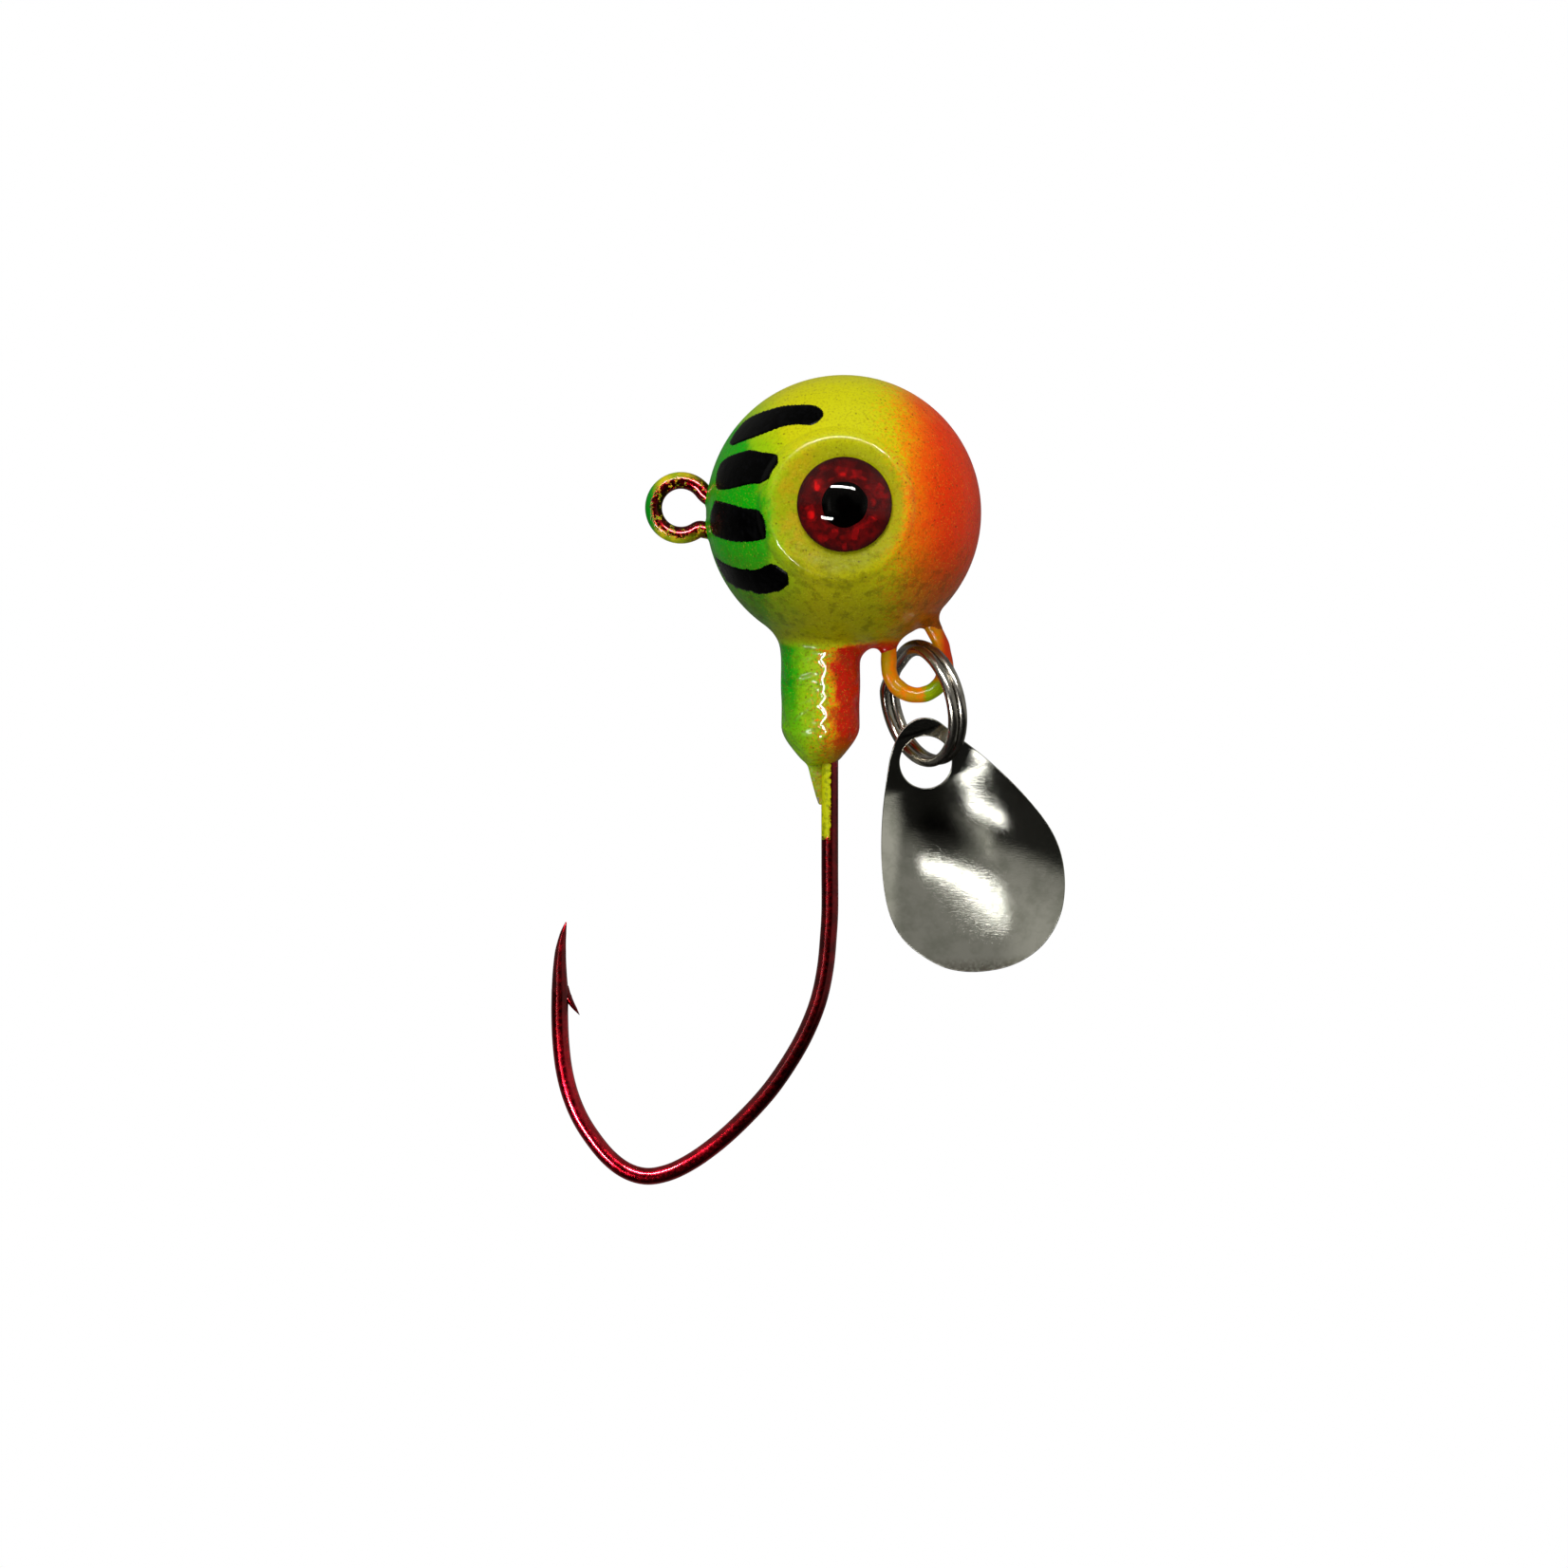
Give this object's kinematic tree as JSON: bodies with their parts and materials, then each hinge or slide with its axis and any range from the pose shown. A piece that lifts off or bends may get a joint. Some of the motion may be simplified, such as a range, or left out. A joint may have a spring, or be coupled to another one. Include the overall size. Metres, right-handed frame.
{
  "type": "jig head with spinner blade",
  "caption": "Painted ball jig head with a right-angle hook, bait collar, stick-on eyes and a dished spinner blade hung from a split ring under the chin.",
  "frame": {"origin": "centre of the line eye, where the line or snap is tied", "axes": "-Z along the hook shank and bait collar, +X from the line eye toward the ball, -X also the side of the hook point, +Y through the left cheek; the hook wire lies in the plane Y = 0. The ball centre is at X 8.24 mm, Z -0.24 mm"},
  "size_m": [0.0261, 0.0152, 0.041],
  "materials": {
    "red_lacquered_wire": "translucent dark red lacquer over bright steel wire",
    "cast_lead": "dull grey cast lead",
    "head_paint": "gloss airbrushed paint, green through yellow to orange",
    "black_ink": "gloss black airbrushed bars",
    "eye_foam": "white adhesive foam",
    "red_foil": "red holographic foil",
    "pupil_black": "printed black",
    "clear_dome": "clear epoxy dome",
    "painted_wire": "orange and yellow paint over steel wire",
    "nickel_wire": "nickel plated spring steel",
    "nickel_blade": "polished nickel plate"
  },
  "bodies": {
    "jig": {"hook": "red_lacquered_wire", "lead_head": "cast_lead", "paint_coat": "head_paint", "mark_right_1": "black_ink", "mark_right_2": "black_ink", "mark_right_3": "black_ink", "mark_right_4": "black_ink", "mark_left_1": "black_ink", "mark_left_2": "black_ink", "mark_left_3": "black_ink", "mark_left_4": "black_ink", "eye_adhesive_right": "eye_foam", "eye_adhesive_left": "eye_foam", "iris_foil_right": "red_foil", "iris_foil_left": "red_foil", "pupil_right": "pupil_black", "pupil_left": "pupil_black", "eye_dome_right": "clear_dome", "eye_dome_left": "clear_dome", "spinner_eyelet": "painted_wire"},
    "ring": {"split_ring": "nickel_wire"},
    "blade": {"spinner_blade": "nickel_blade"}
  },
  "joints": [
    {"name": "ring_turn", "type": "hinge", "parent": "jig", "child": "ring", "pos_m": [0.01228, 0.00066, -0.0099], "axis": [0.8214, 0.5295, 0.2121], "range_deg": [-60, 90]},
    {"name": "blade_swing", "type": "hinge", "parent": "ring", "child": "blade", "pos_m": [0.01261, 0.0013, -0.0128], "axis": [0.5593, -0.8206, -0.1177], "range_deg": [-20, 65]}
  ]
}
